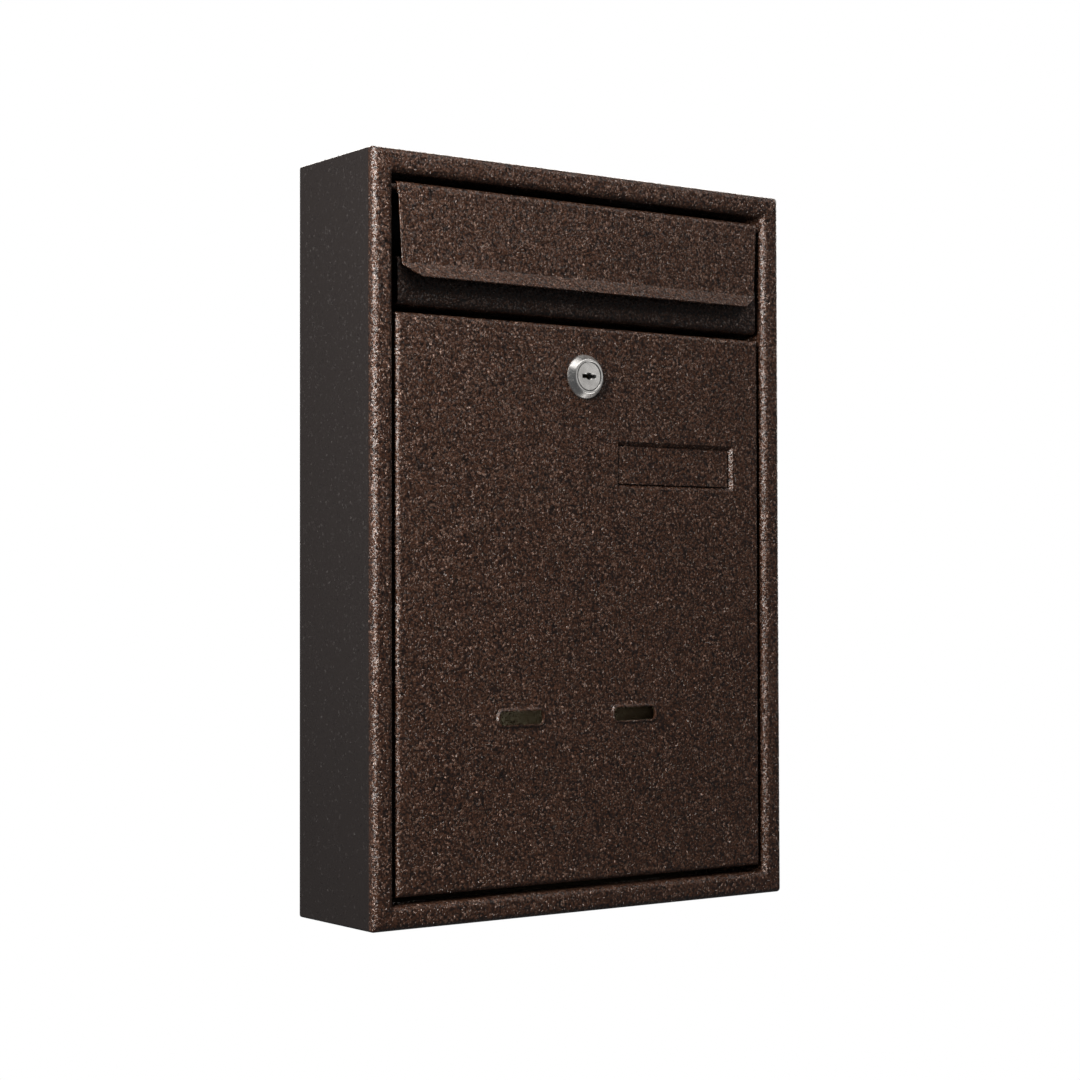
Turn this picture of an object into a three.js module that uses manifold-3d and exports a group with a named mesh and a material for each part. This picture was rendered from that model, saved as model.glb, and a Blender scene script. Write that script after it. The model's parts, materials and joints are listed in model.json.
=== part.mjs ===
// A wall mounted sheet metal mailbox: a folded case, a lift-up flap over the mail slot, and a
// drop-down door with a cam lock. Millimetres, +Z up, +Y into the wall, +X to the right.
// The origin is the centre of the face that lies on the wall.
import * as THREE from "three";
import { mergeVertices } from "three/addons/utils/BufferGeometryUtils.js";
import Module from "manifold-3d";

const wasm = await Module();
wasm.setup();

// ---- Driving dimensions ----

const SHEET = 0.8; // thickness of every sheet piece
const GAP = 0.3; // between pieces that touch on the real object
const ROUND = 24; // sides of a round piece
const BEND_STEPS = 4; // straight steps in one sheet bend

const CASE_WIDTH = 220;
const CASE_HEIGHT = 320;
const CASE_DEPTH = 60;
const FRAME_WIDTH = 10; // visible width of the front frame
const FRAME_BEND = 3; // outer radius of the frame's bends
const FRAME_RETURN = 13; // depth of the lip that turns in round the opening

const BACK_FLANGE = 8;
const KEYHOLE = { x: 70, z: 120, head: 4.5, slot: 2.5, rise: 9 };
const LOWER_HOLE = { x: 70, z: -120, radius: 3 };

const DOOR_WIDTH = 196;
const DOOR_HEIGHT = 240;
const DOOR_BOTTOM = 13; // above the bottom of the case
const DOOR_SETBACK = 1.5; // of the door's face behind the frame's face
const DOOR_RETURN = 12;
const SHEET_BEND = 2.2; // outer radius of the door's and the rail's bends

const RAIL_BOTTOM = 256;
const RAIL_TOP = 276;
const RAIL_HALF = 97;
const RAIL_SETBACK = 2.3;
const RAIL_FLANGE = 8; // depth of the flange along the rail's top
const RAIL_STRAP = 2.5; // from the end of the frame's lip back to the middle of the strap
const RAIL_LIP = 11; // height of the strap behind the rail
const RAIL_TAB = 12; // depth of the tabs on the side walls

const FLAP_TOP = 307;
const FLAP_BEND = 273.1; // height of the bend between the panel and the lip
const FLAP_SETBACK = { top: 1.5, bend: 1.2 };
const FLAP_HALF = { curl: 98.2, top: 96.9, bend: 95.4 };
const FLAP_LIP = { drop: 6, out: 4.6, chamfer: 7.7 };

const ROD_RADIUS = 1.5;
const ROD_HOLE = 1.85;
const CURL_RADIUS = 2.55; // outside of the rolled edge that turns on the flap's rod
const CURL_WRAP = 1.5 * Math.PI;
const ROD_CAP = { radius: 2.8, length: 4, wall: 0.8, start: 2.4 }; // start: out from the opening
const DOOR_PIVOT = { behindFace: 7, aboveEdge: 7 };

const LOCK = { x: -2, height: 231.1 };
const WAFER_COUNT = 4;
const WAFER_PITCH = 2.1;

// The lock's own values are counted behind the door's face.
const LOCK_BODY = { flange: 9.5, face: 7.3, proud: 3.8, barrel: 8, flat: 7.25, end: 14.8 };
const LOCK_WASHER = { radius: 10.5, thickness: 0.6 };
const LOCK_NUT = { acrossFlats: 22, thickness: 3.5 };
const PLUG = { head: 6.15, body: 5.5, headEnd: 0.8, end: 14.6, tail: 3.3, tailEnd: 16.9 };
const KEYWAY = { width: 7, height: 1.65, centre: 1.45, end: 9.9 };
const STOP_LUG = { reach: 7, half: 1.2, start: 13.4 };
const CAM = { start: 15.3, end: 16.8, hub: 8, tip: 5, reach: 26 };
const CAM_WASHER = { start: 17.2, radius: 5, thickness: 0.8 };
const SCREW = { start: 11, shank: 1.85, head: 3.6, headStart: 18.3, headEnd: 20.5 };
const SCREW_RECESS = { reach: 2, half: 0.5, depth: 1.1 };
const WAFER = { first: 2.7, half: 0.45, width: 4.6, height: 2.2, slotHalf: 0.7 };
const WAFER_SPRING = { x: [-2.7, 0.9], z: 3.3, radius: 0.42, wire: 0.16, turns: 3.5 };

// The name card recess and the groove round its floor, which is wider on some sides.
const NAME_RECESS = { left: 17, right: 81, bottom: 184.8, top: 202.3, depth: 0.6 };
const RECESS_GROOVE = { left: 0.3, right: 1.3, bottom: 0.45, top: 0.8, depth: 2 };
const SIGHT_SLOT = { length: 22.9, height: 5.8, z: 84.5, rim: 1.2, rise: 0.5 };
const SIGHT_SLOT_CENTRES = [-35.8, 25.1];

// ---- Places worked out from them ----

const fromBottom = (height) => height - CASE_HEIGHT / 2;
const fromFront = (setback) => setback - CASE_DEPTH;
const OPENING_HALF = CASE_WIDTH / 2 - FRAME_WIDTH;
const DOOR_CENTRE_Z = fromBottom(DOOR_BOTTOM + DOOR_HEIGHT / 2);
const DOOR_FACE_Y = fromFront(DOOR_SETBACK);
const DOOR_AXIS = {
  y: DOOR_FACE_Y + DOOR_PIVOT.behindFace,
  z: fromBottom(DOOR_BOTTOM + DOOR_PIVOT.aboveEdge),
};
const FLAP_AXIS = {
  y: fromFront(FLAP_SETBACK.top + CURL_RADIUS),
  z: fromBottom(FLAP_TOP - CURL_RADIUS),
};
const ROD_CAP_X = OPENING_HALF + ROD_CAP.start;

// ---- Materials ----

const colour = (color, roughness, metalness) => () =>
  new THREE.MeshStandardMaterial({ color, roughness, metalness });
const hammeredPaint = colour(0x3b2b23, 0.45, 0.5);
const zincSteel = colour(0xb4b6b8, 0.35, 0.9);
const satinChrome = colour(0xc9c9c8, 0.3, 1);
const brass = colour(0xb99a55, 0.35, 0.9);
const springSteel = colour(0x8f9194, 0.3, 0.9);
const rodCapSteel = colour(0x9a9c9e, 0.4, 0.9);

// ---- Solids ----

// A closed three.js geometry as a manifold solid.
function toSolid(geometry) {
  const bare = geometry.index ? geometry.toNonIndexed() : geometry.clone();
  bare.deleteAttribute("normal");
  bare.deleteAttribute("uv");
  const merged = mergeVertices(bare, 1e-4);
  const triVerts = [];
  for (let i = 0; i < merged.index.count; i += 3) {
    const [a, b, c] = merged.index.array.subarray(i, i + 3);
    if (a !== b && b !== c && c !== a) triVerts.push(a, b, c);
  }
  return new wasm.Manifold(
    new wasm.Mesh({
      numProp: 3,
      vertProperties: merged.attributes.position.array,
      triVerts: new Uint32Array(triVerts),
    }),
  );
}

function toGeometry(solid) {
  const mesh = solid.getMesh();
  const geometry = new THREE.BufferGeometry();
  geometry.setAttribute("position", new THREE.BufferAttribute(mesh.vertProperties, 3));
  geometry.setIndex(new THREE.BufferAttribute(mesh.triVerts, 1));
  geometry.computeVertexNormals();
  return geometry;
}

function join(...geometries) {
  return toGeometry(geometries.map(toSolid).reduce((sum, next) => sum.add(next)));
}

function cut(base, ...tools) {
  return toGeometry(tools.map(toSolid).reduce((rest, tool) => rest.subtract(tool), toSolid(base)));
}

// ---- Basic shapes, each placed by its limits ----

function block([x0, x1], [y0, y1], [z0, z1]) {
  const geometry = new THREE.BoxGeometry(x1 - x0, y1 - y0, z1 - z0);
  return geometry.translate((x0 + x1) / 2, (y0 + y1) / 2, (z0 + z1) / 2);
}

function cylinderAlongX(radius, [x0, x1], y, z) {
  const geometry = new THREE.CylinderGeometry(radius, radius, x1 - x0, ROUND);
  return geometry.rotateZ(Math.PI / 2).translate((x0 + x1) / 2, y, z);
}

function cylinderAlongY(radius, [y0, y1], x = 0, z = 0) {
  const geometry = new THREE.CylinderGeometry(radius, radius, y1 - y0, ROUND);
  return geometry.translate(x, (y0 + y1) / 2, z);
}

// A shape drawn in x and z, given thickness from y0 to y1.
function extrudeAlongY(shape, [y0, y1]) {
  const options = { depth: y1 - y0, bevelEnabled: false, curveSegments: ROUND / 2 };
  return new THREE.ExtrudeGeometry(shape, options).rotateX(Math.PI / 2).translate(0, y1, 0);
}

// A shape drawn in y and z, given length from x0 to x1.
function extrudeAlongX(shape, [x0, x1]) {
  const geometry = new THREE.ExtrudeGeometry(shape, { depth: x1 - x0, bevelEnabled: false });
  const turn = new THREE.Matrix4().makeBasis(
    new THREE.Vector3(0, 1, 0),
    new THREE.Vector3(0, 0, 1),
    new THREE.Vector3(1, 0, 0),
  );
  return geometry.applyMatrix4(turn).translate(x0, 0, 0);
}

// Turns a profile of [radius, y] points round the Y axis.
function turnedAlongY(profile) {
  return new THREE.LatheGeometry(profile.map(([r, y]) => new THREE.Vector2(r, y)), ROUND);
}

// A slot outline with round ends, drawn in x and z.
function roundEndedSlot(length, height) {
  const radius = height / 2;
  const reach = length / 2 - radius;
  const shape = new THREE.Shape();
  shape.absarc(reach, 0, radius, -Math.PI / 2, Math.PI / 2, false);
  shape.absarc(-reach, 0, radius, Math.PI / 2, (3 * Math.PI) / 2, false);
  return shape;
}

// ---- Bent sheet ----

// The middle of a bent sheet: points with their normals, each inner corner an arc of one radius.
function bentLine(corners, radius) {
  const points = corners.map(([u, v]) => new THREE.Vector2(u, v));
  const direction = (i) => points[i + 1].clone().sub(points[i]).normalize();
  const leftOf = (d) => new THREE.Vector2(-d.y, d.x);
  const line = [{ point: points[0], normal: leftOf(direction(0)) }];
  for (let i = 1; i < points.length - 1; i++) {
    const before = direction(i - 1);
    const after = direction(i);
    const turn = Math.atan2(before.cross(after), before.dot(after));
    const side = Math.sign(turn);
    const start = points[i].clone().addScaledVector(before, -radius * Math.tan(Math.abs(turn) / 2));
    const centre = start.clone().addScaledVector(leftOf(before), side * radius);
    for (let step = 0; step <= BEND_STEPS; step++) {
      const normal = leftOf(before).rotateAround(new THREE.Vector2(), (turn * step) / BEND_STEPS);
      line.push({ point: centre.clone().addScaledVector(normal, -side * radius), normal });
    }
  }
  line.push({ point: points.at(-1), normal: leftOf(direction(points.length - 2)) });
  return line;
}

// A rolled edge: an arc about a centre, turning clockwise.
function rolledLine(centre, radius, startAngle, wrap, steps) {
  return Array.from({ length: steps }, (_, i) => {
    const angle = startAngle - (wrap * (i + 1)) / steps;
    const normal = new THREE.Vector2(Math.cos(angle), Math.sin(angle));
    return { point: centre.clone().addScaledVector(normal, radius), normal };
  });
}

// The closed outline of a sheet whose middle follows a line.
function thickened(line) {
  const offset = (side) => ({ point, normal }) =>
    point.clone().addScaledVector(normal, (side * SHEET) / 2);
  return [...line.map(offset(1)), ...line.map(offset(-1)).reverse()];
}

// Carries a section round a rectangle with mitred corners. A section point is [out from the
// middle, y]; on the longer sides it moves out by half the difference of height and width.
function sweptRound(section, width, height) {
  const profile = section.map(({ x, y }) => new THREE.Vector2(x * Math.SQRT2, y));
  const geometry = new THREE.LatheGeometry(profile, 4, Math.PI / 4);
  const position = geometry.getAttribute("position");
  for (let i = 0; i < position.count; i++) {
    const z = position.getZ(i);
    if (Math.abs(z) > 1e-6) position.setZ(i, z + (Math.sign(z) * (height - width)) / 2);
  }
  return geometry;
}

// ---- The case ----

function rodHoles({ y, z }) {
  const side = (sign) => {
    const middle = sign * OPENING_HALF;
    return cylinderAlongX(ROD_HOLE, [middle - 2, middle + 2], y, z);
  };
  return [side(-1), side(1)];
}

// The side walls, the front frame and the lip round the opening, folded from one blank.
function caseShell() {
  const half = SHEET / 2;
  const wall = CASE_WIDTH / 2 - half;
  const front = fromFront(half);
  const lip = OPENING_HALF + half;
  const corners = [[wall, 0], [wall, front], [lip, front], [lip, fromFront(FRAME_RETURN)]];
  const section = thickened(bentLine(corners, FRAME_BEND - half)).reverse();
  const shell = sweptRound([...section, section[0]], CASE_WIDTH, CASE_HEIGHT);
  return cut(shell, ...rodHoles(FLAP_AXIS), ...rodHoles(DOOR_AXIS));
}

// The back: a shallow tray inside the walls, with two keyholes and two plain holes.
function backPanel() {
  const out = CASE_WIDTH / 2 - SHEET - GAP;
  const section = [
    [0, -SHEET],
    [out - SHEET, -SHEET],
    [out - SHEET, -BACK_FLANGE],
    [out, -BACK_FLANGE],
    [out, 0],
    [0, 0],
  ].map(([x, y]) => new THREE.Vector2(x, y));
  const through = [-2 * SHEET, SHEET];
  const holes = [-1, 1].flatMap((side) => {
    const { x, z, head, slot, rise } = KEYHOLE;
    return [
      cylinderAlongY(head, through, side * x, z),
      cylinderAlongY(slot, through, side * x, z + rise),
      block([side * x - slot, side * x + slot], through, [z, z + rise]),
      cylinderAlongY(LOWER_HOLE.radius, through, side * LOWER_HOLE.x, LOWER_HOLE.z),
    ];
  });
  return cut(sweptRound(section, CASE_WIDTH, CASE_HEIGHT), ...holes);
}

// The fixed rail between the flap and the door. Its strap runs behind the frame's lip to a tab
// on each side wall, and the lock's cam turns up behind the strap.
function crossRail() {
  const half = SHEET / 2;
  const face = fromFront(RAIL_SETBACK + half);
  const strap = fromFront(FRAME_RETURN + RAIL_STRAP);
  const bottom = fromBottom(RAIL_BOTTOM + half);
  const top = fromBottom(RAIL_TOP - half);
  const corners = [
    [face + RAIL_FLANGE, top],
    [face, top],
    [face, bottom],
    [strap, bottom],
    [strap, bottom + RAIL_LIP],
  ];
  const outline = thickened(bentLine(corners, SHEET_BEND - half));
  const channel = extrudeAlongX(new THREE.Shape(outline), [-RAIL_HALF, RAIL_HALF]);
  const wall = CASE_WIDTH / 2 - SHEET - GAP;
  const strapZ = [bottom + SHEET_BEND, bottom + RAIL_LIP];
  const strapY = [strap - half, strap + half];
  const tabY = [strap - half, strap - half + RAIL_TAB];
  return join(
    channel,
    block([-wall, wall], strapY, strapZ),
    block([-wall, -wall + SHEET], tabY, strapZ),
    block([wall - SHEET, wall], tabY, strapZ),
  );
}

// ---- Hinge rods ----

function hingeRod({ y, z }) {
  const end = ROD_CAP_X + ROD_CAP.length - ROD_CAP.wall - GAP;
  return cylinderAlongX(ROD_RADIUS, [-end, end], y, z);
}

// A push-on cap, closed at the outer end.
function rodCap({ y, z }, side) {
  const { radius, length, wall } = ROD_CAP;
  const bore = ROD_RADIUS + GAP;
  const cap = turnedAlongY([
    [0, length - wall],
    [bore, length - wall],
    [bore, 0],
    [radius, 0],
    [radius, length - wall],
    [radius - wall, length],
    [0, length],
  ]);
  return cap.rotateZ((-side * Math.PI) / 2).translate(side * ROD_CAP_X, y, z);
}

// ---- The flap ----

// What is trimmed from one side of the flap: down its slanting edge and off the lip's corner.
function flapTrim(side) {
  const bend = fromBottom(FLAP_BEND);
  const curlBottom = FLAP_AXIS.z - CURL_RADIUS + 0.5;
  const low = bend - 2 * FLAP_LIP.drop;
  const lipSlope = FLAP_LIP.chamfer / FLAP_LIP.drop;
  const outline = [
    [FLAP_HALF.top, curlBottom],
    [FLAP_HALF.bend, bend],
    [FLAP_HALF.bend - lipSlope * (bend - low), low],
    [FLAP_HALF.curl + 5, low],
    [FLAP_HALF.curl + 5, curlBottom],
  ];
  const shape = new THREE.Shape(outline.map(([x, z]) => new THREE.Vector2(side * x, z)));
  return extrudeAlongY(shape, [fromFront(-10), fromFront(20)]);
}

function mailFlap() {
  const half = SHEET / 2;
  const bend = fromBottom(FLAP_BEND);
  const panelFoot = fromFront(FLAP_SETBACK.bend + half);
  const corners = [
    [panelFoot - FLAP_LIP.out + half, bend - FLAP_LIP.drop + half],
    [panelFoot, bend],
    [FLAP_AXIS.y - CURL_RADIUS + half, FLAP_AXIS.z],
  ];
  const axis = new THREE.Vector2(FLAP_AXIS.y, FLAP_AXIS.z);
  const line = [
    ...bentLine(corners, SHEET_BEND - half),
    ...rolledLine(axis, CURL_RADIUS - half, Math.PI, CURL_WRAP, 5 * BEND_STEPS),
  ];
  const sheet = extrudeAlongX(new THREE.Shape(thickened(line)), [-FLAP_HALF.curl, FLAP_HALF.curl]);
  return cut(sheet, flapTrim(-1), flapTrim(1));
}

// ---- The door ----

function doorTray() {
  const half = SHEET / 2;
  const out = DOOR_WIDTH / 2 - half;
  const face = DOOR_FACE_Y + half;
  const corners = [[out, DOOR_FACE_Y + DOOR_RETURN], [out, face], [0, face]];
  const section = thickened(bentLine(corners, SHEET_BEND - half));
  const inside = section.slice(0, section.length / 2);
  const outside = section.slice(section.length / 2);
  const tray = sweptRound([...outside, ...inside].reverse(), DOOR_WIDTH, DOOR_HEIGHT);
  return tray.translate(0, 0, DOOR_CENTRE_Z);
}

// A block over the name card recess, moved in on each side by an inset, between two depths.
function recessBlock(inset, [front, back]) {
  const { left, right, bottom, top } = NAME_RECESS;
  return block(
    [left + inset.left, right - inset.right],
    [DOOR_FACE_Y + front, DOOR_FACE_Y + back],
    [fromBottom(bottom) + inset.bottom, fromBottom(top) - inset.top],
  );
}

// The recess's pan, pressed out behind the face, and what is hollow in front of it.
function recessPan() {
  const inset = { left: -SHEET, right: -SHEET, bottom: -SHEET, top: -SHEET };
  return recessBlock(inset, [SHEET / 2, RECESS_GROOVE.depth + SHEET]);
}

function recessHollow() {
  const inset = { left: 0, right: 0, bottom: 0, top: 0 };
  const hollow = recessBlock(inset, [-1, RECESS_GROOVE.depth]);
  return cut(hollow, recessBlock(RECESS_GROOVE, [NAME_RECESS.depth, RECESS_GROOVE.depth + 1]));
}

function sightSlot(x, margin, [front, back]) {
  const shape = roundEndedSlot(SIGHT_SLOT.length + 2 * margin, SIGHT_SLOT.height + 2 * margin);
  const span = [DOOR_FACE_Y + front, DOOR_FACE_Y + back];
  return extrudeAlongY(shape, span).translate(x, 0, fromBottom(SIGHT_SLOT.z));
}

// Blocks that take two flats, left and right, off a round of the lock.
function lockFlats(flat, span) {
  const far = 2 * LOCK_BODY.barrel;
  return [block([-far, -flat], span, [-far, far]), block([flat, far], span, [-far, far])];
}

// The hole for the lock's barrel: a round with two flats, so that the lock can't turn in it.
function lockHole() {
  const round = cylinderAlongY(LOCK_BODY.barrel + GAP, [-1, 2 * SHEET]);
  const hole = cut(round, ...lockFlats(LOCK_BODY.flat + GAP, [-2, 3 * SHEET]));
  return hole.translate(LOCK.x, DOOR_FACE_Y, fromBottom(LOCK.height));
}

// The door: a tray with a pressed recess for a name card, two sight slots and the lock's hole.
function doorPanel() {
  const rims = SIGHT_SLOT_CENTRES.map((x) =>
    sightSlot(x, SIGHT_SLOT.rim, [-SIGHT_SLOT.rise, SHEET / 2]),
  );
  const slots = SIGHT_SLOT_CENTRES.map((x) => sightSlot(x, 0, [-2, 2]));
  const pressed = join(doorTray(), recessPan(), ...rims);
  const rodHole = cylinderAlongX(ROD_HOLE, [-DOOR_WIDTH, DOOR_WIDTH], DOOR_AXIS.y, DOOR_AXIS.z);
  return cut(pressed, recessHollow(), ...slots, lockHole(), rodHole);
}

// ---- The lock, in its own frame: the origin on the door's face, y counted behind it ----

function lockHousing() {
  const { flange, face, proud, flat, barrel, end } = LOCK_BODY;
  const boreEnd = PLUG.headEnd + GAP;
  const body = turnedAlongY([
    [PLUG.head + GAP, -proud],
    [face, -proud],
    [face + 0.3, 0.1 - proud],
    [flange - 0.3, -1.3],
    [flange, -1],
    [flange, -0.2],
    [barrel, -0.2],
    [barrel, end],
    [PLUG.body + GAP, end],
    [PLUG.body + GAP, boreEnd],
    [PLUG.head + GAP, boreEnd],
    [PLUG.head + GAP, -proud],
  ]);
  const stop = STOP_LUG.half + 0.4;
  const quarter = block([-barrel - 1, stop], [STOP_LUG.start - 0.5, end + 1], [-barrel - 1, stop]);
  return cut(body, ...lockFlats(flat, [0, end + 1]), quarter);
}

function ring(outline, bore, span) {
  outline.holes.push(new THREE.Path().absarc(0, 0, bore, 0, 2 * Math.PI, true));
  return extrudeAlongY(outline, span);
}

function lockWasher() {
  const outline = new THREE.Shape().absarc(0, 0, LOCK_WASHER.radius, 0, 2 * Math.PI, false);
  const start = SHEET + GAP;
  return ring(outline, LOCK_BODY.barrel + GAP, [start, start + LOCK_WASHER.thickness]);
}

function lockNut() {
  const acrossCorners = LOCK_NUT.acrossFlats / Math.cos(Math.PI / 6);
  const corners = Array.from({ length: 6 }, (_, i) =>
    new THREE.Vector2(acrossCorners / 2, 0).rotateAround(new THREE.Vector2(), (i * Math.PI) / 3),
  );
  const start = SHEET + 2 * GAP + LOCK_WASHER.thickness;
  const span = [start, start + LOCK_NUT.thickness];
  return ring(new THREE.Shape(corners), LOCK_BODY.barrel + GAP, span);
}

const waferPlace = (index) => WAFER.first + index * WAFER_PITCH;

// The plug: a turned body with the keyway, a slot for each wafer with a pocket for its spring,
// a stop lug, and a square tail drilled for the cam's screw.
function lockPlug() {
  const { head, body, headEnd, end, tail, tailEnd } = PLUG;
  const face = 0.1 - LOCK_BODY.proud;
  const turned = turnedAlongY([
    [0, face],
    [head, face],
    [head, headEnd],
    [body, headEnd],
    [body, end],
    [0, end],
  ]);
  const solid = join(
    turned,
    block([-tail, tail], [end - 1, tailEnd], [-tail, tail]),
    block([-STOP_LUG.reach, -tail], [STOP_LUG.start, end], [-STOP_LUG.half, STOP_LUG.half]),
  );
  const key = [face - 1, KEYWAY.end];
  const slots = Array.from({ length: WAFER_COUNT }, (_, i) => {
    const span = [waferPlace(i) - WAFER.slotHalf, waferPlace(i) + WAFER.slotHalf];
    const height = WAFER.height + GAP;
    return [
      block([-2 * body, 2 * body], span, [-height, height]),
      block([WAFER_SPRING.x[0] - 0.3, 2.4], span, [height - 0.1, 4.3]),
    ];
  });
  return cut(
    solid,
    block([-KEYWAY.width / 2, KEYWAY.width / 2], key, [-KEYWAY.height / 2, KEYWAY.height / 2]),
    cylinderAlongY(KEYWAY.centre, key),
    cylinderAlongY(SCREW.shank + GAP, [SCREW.start - GAP, tailEnd + 1]),
    ...slots.flat(),
  );
}

// A wafer: a plate with a window for the key and a tab for its spring.
function lockWafer(index) {
  const y = waferPlace(index);
  const span = [y - WAFER.half, y + WAFER.half];
  const window = WAFER.width - 0.9;
  return cut(
    join(
      block([-WAFER.width, WAFER.width], span, [-WAFER.height, WAFER.height]),
      block([1.2, 2], span, [WAFER.height - 0.5, 3.9]),
    ),
    block([-window, window], [y - 1, y + 1], [-1.2, 1.2]),
  );
}

class Helix extends THREE.Curve {
  constructor(centre) {
    super();
    this.centre = centre;
  }

  getPoint(t) {
    const { x, z, radius, turns } = WAFER_SPRING;
    const angle = 2 * Math.PI * turns * t;
    return new THREE.Vector3(
      x[0] + (x[1] - x[0]) * t,
      this.centre + radius * Math.cos(angle),
      z + radius * Math.sin(angle),
    );
  }
}

function waferSpring(index) {
  const section = new THREE.Shape().absarc(0, 0, WAFER_SPRING.wire, 0, 2 * Math.PI, false);
  return new THREE.ExtrudeGeometry(section, {
    steps: Math.round(WAFER_SPRING.turns * 9),
    curveSegments: 3,
    extrudePath: new Helix(waferPlace(index)),
  });
}

// The cam points to the right when the lock is open.
function lockCam() {
  const { start, end, hub, tip, reach } = CAM;
  const tangent = Math.acos((hub - tip) / reach);
  const outline = new THREE.Shape();
  outline.absarc(0, 0, hub, tangent, 2 * Math.PI - tangent, false);
  outline.absarc(reach, 0, tip, -tangent, tangent, false);
  const square = PLUG.tail + GAP;
  return cut(
    extrudeAlongY(outline, [start, end]),
    block([-square, square], [start - 1, end + 1], [-square, square]),
  );
}

function lockCamWasher() {
  const { start, radius, thickness } = CAM_WASHER;
  const outline = new THREE.Shape().absarc(0, 0, radius, 0, 2 * Math.PI, false);
  return ring(outline, SCREW.shank + GAP, [start, start + thickness]);
}

function lockCamScrew() {
  const { start, shank, head, headStart, headEnd } = SCREW;
  const screw = turnedAlongY([
    [0, start],
    [shank, start],
    [shank, headStart],
    [head, headStart],
    [head, headEnd - 0.9],
    [head - 1.2, headEnd],
    [0, headEnd],
  ]);
  const { reach, half, depth } = SCREW_RECESS;
  const span = [headEnd - depth, headEnd + 1];
  return cut(
    screw,
    block([-reach, reach], span, [-half, half]),
    block([-half, half], span, [-reach, reach]),
  );
}

// ---- Assembly ----

function piece(name, geometry, material) {
  const mesh = new THREE.Mesh(geometry, material());
  mesh.name = name;
  return mesh;
}

function assembly(...pieces) {
  const group = new THREE.Group();
  group.add(...pieces);
  return group;
}

const body = assembly(
  piece("case_shell", caseShell(), hammeredPaint),
  piece("back_panel", backPanel(), hammeredPaint),
  piece("cross_rail", crossRail(), hammeredPaint),
  piece("flap_hinge_rod", hingeRod(FLAP_AXIS), zincSteel),
  piece("flap_rod_cap_left", rodCap(FLAP_AXIS, -1), rodCapSteel),
  piece("flap_rod_cap_right", rodCap(FLAP_AXIS, 1), rodCapSteel),
  piece("door_hinge_rod", hingeRod(DOOR_AXIS), zincSteel),
  piece("door_rod_cap_left", rodCap(DOOR_AXIS, -1), rodCapSteel),
  piece("door_rod_cap_right", rodCap(DOOR_AXIS, 1), rodCapSteel),
);

const flap = assembly(piece("mail_flap", mailFlap(), hammeredPaint));

const lockRotor = assembly(
  piece("lock_plug", lockPlug(), satinChrome),
  piece("lock_cam", lockCam(), zincSteel),
  piece("lock_cam_washer", lockCamWasher(), zincSteel),
  piece("lock_cam_screw", lockCamScrew(), zincSteel),
);
for (let i = 0; i < WAFER_COUNT; i++) {
  lockRotor.add(piece(`lock_wafer_${i + 1}`, lockWafer(i), brass));
  lockRotor.add(piece(`lock_wafer_spring_${i + 1}`, waferSpring(i), springSteel));
}

const lock = assembly(
  piece("lock_housing", lockHousing(), satinChrome),
  piece("lock_washer", lockWasher(), zincSteel),
  piece("lock_nut", lockNut(), zincSteel),
  lockRotor,
);
lock.position.set(LOCK.x, DOOR_FACE_Y, fromBottom(LOCK.height));

const door = assembly(piece("door_panel", doorPanel(), hammeredPaint), lock);

const mailbox = assembly(body, flap, door);

export default mailbox;
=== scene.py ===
"""A wall mounted sheet metal mailbox in hammered brown paint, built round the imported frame.

Lengths below are millimetres in the frame's axes: +Z up, +Y into the wall, +X to the right.
They become metres where a mesh is made.
"""

import json
import math

import bmesh
import bpy
from mathutils import Euler, Matrix, Vector

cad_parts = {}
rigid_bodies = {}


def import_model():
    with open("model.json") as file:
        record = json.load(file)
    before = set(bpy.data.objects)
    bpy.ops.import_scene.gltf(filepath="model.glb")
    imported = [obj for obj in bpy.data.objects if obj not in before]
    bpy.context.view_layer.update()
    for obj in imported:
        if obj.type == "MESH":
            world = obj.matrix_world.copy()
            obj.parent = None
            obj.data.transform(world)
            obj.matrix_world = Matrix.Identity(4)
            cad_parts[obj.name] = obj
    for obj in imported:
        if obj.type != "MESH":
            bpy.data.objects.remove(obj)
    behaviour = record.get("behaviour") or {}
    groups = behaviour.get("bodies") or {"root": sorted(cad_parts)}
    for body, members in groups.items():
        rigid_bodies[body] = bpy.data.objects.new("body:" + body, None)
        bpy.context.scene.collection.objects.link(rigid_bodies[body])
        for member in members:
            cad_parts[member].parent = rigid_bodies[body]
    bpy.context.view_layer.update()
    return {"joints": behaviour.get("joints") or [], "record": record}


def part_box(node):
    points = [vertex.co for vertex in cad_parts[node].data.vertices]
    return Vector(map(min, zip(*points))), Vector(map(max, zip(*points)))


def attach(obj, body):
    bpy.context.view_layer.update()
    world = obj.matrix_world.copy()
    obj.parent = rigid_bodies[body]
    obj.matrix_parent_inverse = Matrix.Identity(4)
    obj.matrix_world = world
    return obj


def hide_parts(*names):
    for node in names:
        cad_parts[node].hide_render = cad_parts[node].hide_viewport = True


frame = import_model()

MM = 0.001

# ---- Sheet and shape values, as the CAD has them ----

SHEET = 0.8
EDGE = 0.32  # rounding of a sheet's cut edge, thick with paint
EDGE_STEPS = 3
BEND_STEPS = 10
ROUND = 96  # sides of a large round
SMALL_ROUND = 48

FRAME_WIDTH = 10
FRAME_BEND = 3
FRAME_RETURN = 13
CASE_CORNER = 1.2  # rounding of the upright corner lines
DOOR_CORNER = 0.8
SHEET_BEND = 2.2
DOOR_RETURN = 12
DOOR_RIM = 6  # width of the ring round the door that its flat face closes

RAIL_HALF = 97
RAIL_FLANGE = 8  # depth of the flange at the rail's top
RAIL_STRAP = 2.5  # how far the strap stands behind the frame's lip
RAIL_LIP = 11
RAIL_TAB = 12
RAIL_TAB_BEND = 1.2

ROD_HOLE = 1.85
CURL_RADIUS = 2.55
CURL_WRAP = 1.5 * math.pi

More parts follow.
